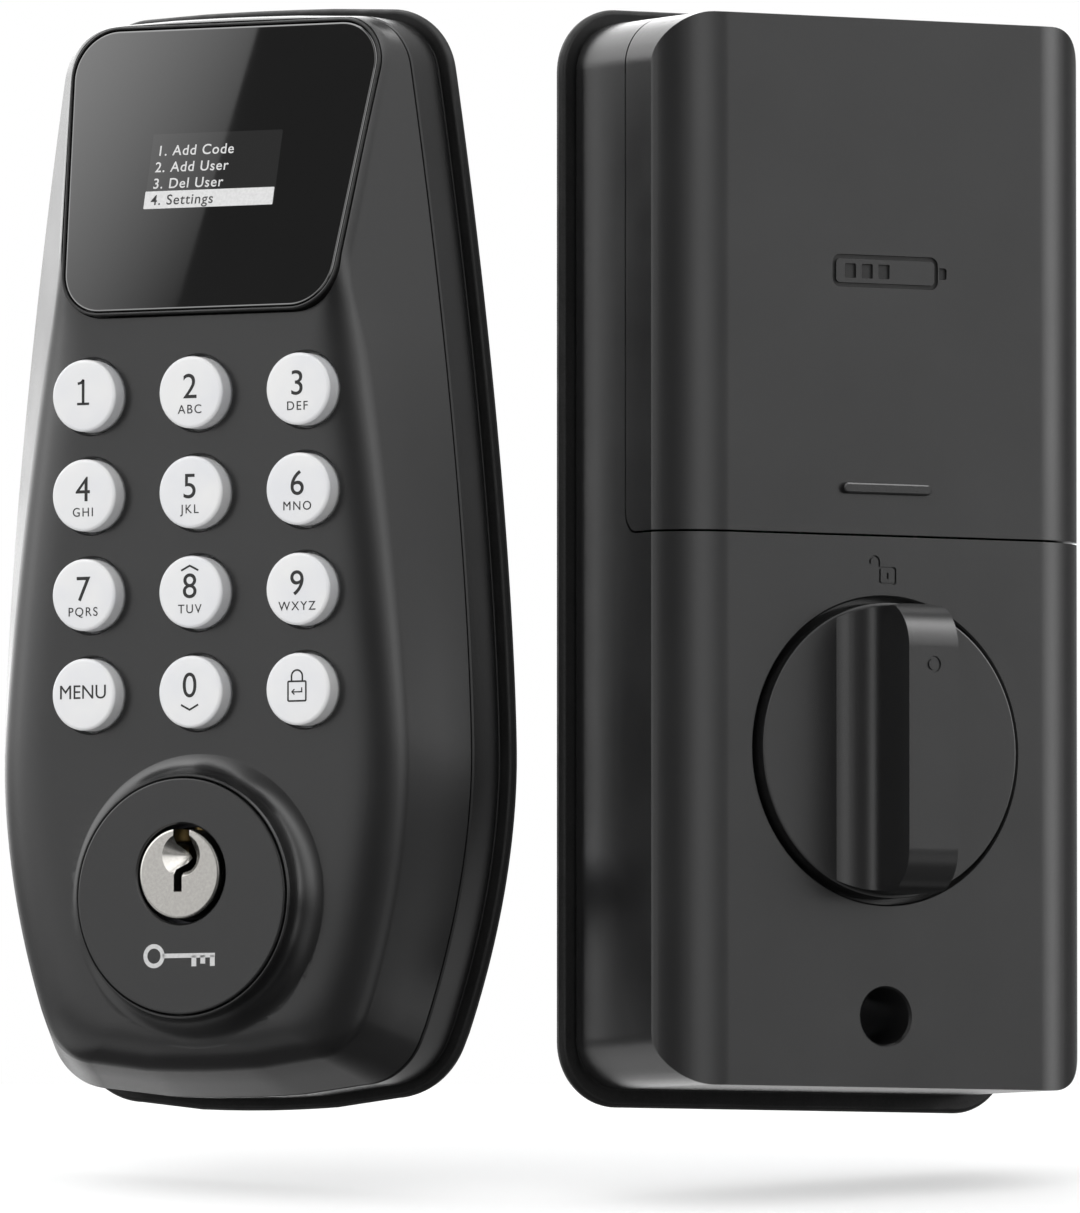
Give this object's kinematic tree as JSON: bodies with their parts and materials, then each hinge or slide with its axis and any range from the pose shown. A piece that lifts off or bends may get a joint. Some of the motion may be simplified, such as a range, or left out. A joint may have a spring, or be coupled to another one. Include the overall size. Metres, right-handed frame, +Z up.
{
  "type": "keypad smart lock",
  "caption": "Keypad deadbolt lock in two units: an outside unit with keys, display and key cylinder, and an inside unit with a thumbturn and battery bay.",
  "frame": {"origin": "bottom centre of the bounding box of the two units as they stand side by side", "axes": "+Z up along both units, -Y to the front between the two faces, +X from the outside unit to the inside unit"},
  "size_m": [0.149, 0.0662, 0.153],
  "materials": {
    "charcoal_shell": "fine satin grain",
    "white_key": "satin moulded",
    "black_glass": "polished",
    "gasket_rubber": "matte",
    "nickel": "satin nickel plate",
    "brass": "turned",
    "zinc_steel": "zinc plated",
    "circuit_board": "solder mask",
    "silicone": "moulded silicone",
    "gear_plastic": "acetal",
    "battery_wrap": "printed sleeve",
    "moulded_black": "moulded"
  },
  "bodies": {
    "case": {"front_shell": "charcoal_shell", "rear_case": "charcoal_shell", "outside_gasket": "gasket_rubber", "display_bezel": "moulded_black", "display_glass": "black_glass", "display_module": "circuit_board", "keypad_mat": "silicone", "main_board": "circuit_board", "cable_socket": "white_key", "usb_port": "zinc_steel", "case_screw_1": "zinc_steel", "case_screw_2": "zinc_steel", "case_screw_3": "zinc_steel", "case_screw_4": "zinc_steel", "bolt_post_left": "brass", "bolt_post_right": "brass", "cylinder_collar": "charcoal_shell", "cylinder_body": "brass", "inside_housing": "charcoal_shell", "inside_gasket": "gasket_rubber", "mounting_plate": "zinc_steel", "rear_chassis": "moulded_black", "idler_pin": "zinc_steel", "gearmotor": "zinc_steel", "gear_bracket": "zinc_steel", "control_board": "circuit_board", "sounder": "moulded_black", "battery_tray": "moulded_black", "cell_1": "battery_wrap", "cell_2": "battery_wrap", "cell_3": "battery_wrap", "cell_4": "battery_wrap", "contact_strip_low": "zinc_steel", "contact_strip_high": "zinc_steel", "fixing_screw": "zinc_steel"},
    "thumbturn": {"thumbturn": "charcoal_shell", "spindle_hub": "zinc_steel", "drive_gear": "gear_plastic"},
    "idler_gear": {"idler_gear": "gear_plastic"},
    "motor_pinion": {"motor_pinion": "gear_plastic"},
    "battery_cover": {"battery_cover": "charcoal_shell"},
    "key_plug": {"key_plug": "nickel", "plug_cap": "zinc_steel", "tailpiece": "zinc_steel"},
    "key_1": {"key_1": "white_key"},
    "key_2": {"key_2": "white_key"},
    "key_3": {"key_3": "white_key"},
    "key_4": {"key_4": "white_key"},
    "key_5": {"key_5": "white_key"},
    "key_6": {"key_6": "white_key"},
    "key_7": {"key_7": "white_key"},
    "key_8": {"key_8": "white_key"},
    "key_9": {"key_9": "white_key"},
    "key_menu": {"key_menu": "white_key"},
    "key_0": {"key_0": "white_key"},
    "key_lock": {"key_lock": "white_key"}
  },
  "joints": [
    {"name": "key_1_press", "type": "slide", "parent": "case", "child": "key_1", "axis": [0.4726, 0.8813, 0], "range_m": [0, 0.0012], "stiffness_N_per_m": 300, "springref_m": -0.002},
    {"name": "key_2_press", "type": "slide", "parent": "case", "child": "key_2", "axis": [0.4726, 0.8813, 0], "range_m": [0, 0.0012], "stiffness_N_per_m": 300, "springref_m": -0.002},
    {"name": "key_3_press", "type": "slide", "parent": "case", "child": "key_3", "axis": [0.4726, 0.8813, 0], "range_m": [0, 0.0012], "stiffness_N_per_m": 300, "springref_m": -0.002},
    {"name": "key_4_press", "type": "slide", "parent": "case", "child": "key_4", "axis": [0.4726, 0.8813, 0], "range_m": [0, 0.0012], "stiffness_N_per_m": 300, "springref_m": -0.002},
    {"name": "key_5_press", "type": "slide", "parent": "case", "child": "key_5", "axis": [0.4726, 0.8813, 0], "range_m": [0, 0.0012], "stiffness_N_per_m": 300, "springref_m": -0.002},
    {"name": "key_6_press", "type": "slide", "parent": "case", "child": "key_6", "axis": [0.4726, 0.8813, 0], "range_m": [0, 0.0012], "stiffness_N_per_m": 300, "springref_m": -0.002},
    {"name": "key_7_press", "type": "slide", "parent": "case", "child": "key_7", "axis": [0.4726, 0.8813, 0], "range_m": [0, 0.0012], "stiffness_N_per_m": 300, "springref_m": -0.002},
    {"name": "key_8_press", "type": "slide", "parent": "case", "child": "key_8", "axis": [0.4726, 0.8813, 0], "range_m": [0, 0.0012], "stiffness_N_per_m": 300, "springref_m": -0.002},
    {"name": "key_9_press", "type": "slide", "parent": "case", "child": "key_9", "axis": [0.4726, 0.8813, 0], "range_m": [0, 0.0012], "stiffness_N_per_m": 300, "springref_m": -0.002},
    {"name": "key_menu_press", "type": "slide", "parent": "case", "child": "key_menu", "axis": [0.4726, 0.8813, 0], "range_m": [0, 0.0012], "stiffness_N_per_m": 300, "springref_m": -0.002},
    {"name": "key_0_press", "type": "slide", "parent": "case", "child": "key_0", "axis": [0.4726, 0.8813, 0], "range_m": [0, 0.0012], "stiffness_N_per_m": 300, "springref_m": -0.002},
    {"name": "key_lock_press", "type": "slide", "parent": "case", "child": "key_lock", "axis": [0.4726, 0.8813, 0], "range_m": [0, 0.0012], "stiffness_N_per_m": 300, "springref_m": -0.002},
    {"name": "key_plug_turn", "type": "hinge", "parent": "case", "child": "key_plug", "pos_m": [-0.04935, -0.01783, 0.032], "axis": [-0.4726, -0.8813, 0], "range_deg": [-90, 90]},
    {"name": "thumbturn_turn", "type": "hinge", "parent": "case", "child": "thumbturn", "pos_m": [0.04822, -0.02004, 0.0489], "axis": [0.5045, -0.8634, 0], "range_deg": [-90, 90]},
    {"name": "idler_gear_spin", "type": "hinge", "parent": "case", "child": "idler_gear", "pos_m": [0.02777, -0.01206, 0.03266], "axis": [0.5045, -0.8634, 0], "range_deg": [-180, 180]},
    {"name": "motor_pinion_spin", "type": "hinge", "parent": "case", "child": "motor_pinion", "pos_m": [0.02158, -0.01568, 0.02279], "axis": [0.5045, -0.8634, 0], "range_deg": [-252, 252]},
    {"name": "battery_cover_slide", "type": "slide", "parent": "case", "child": "battery_cover", "axis": [0, 0, 1], "range_m": [0, 0.075]}
  ],
  "couplings": [
    {"joint": "idler_gear_spin", "follows": "thumbturn_turn", "ratio": -2},
    {"joint": "motor_pinion_spin", "follows": "thumbturn_turn", "ratio": 2.8}
  ]
}
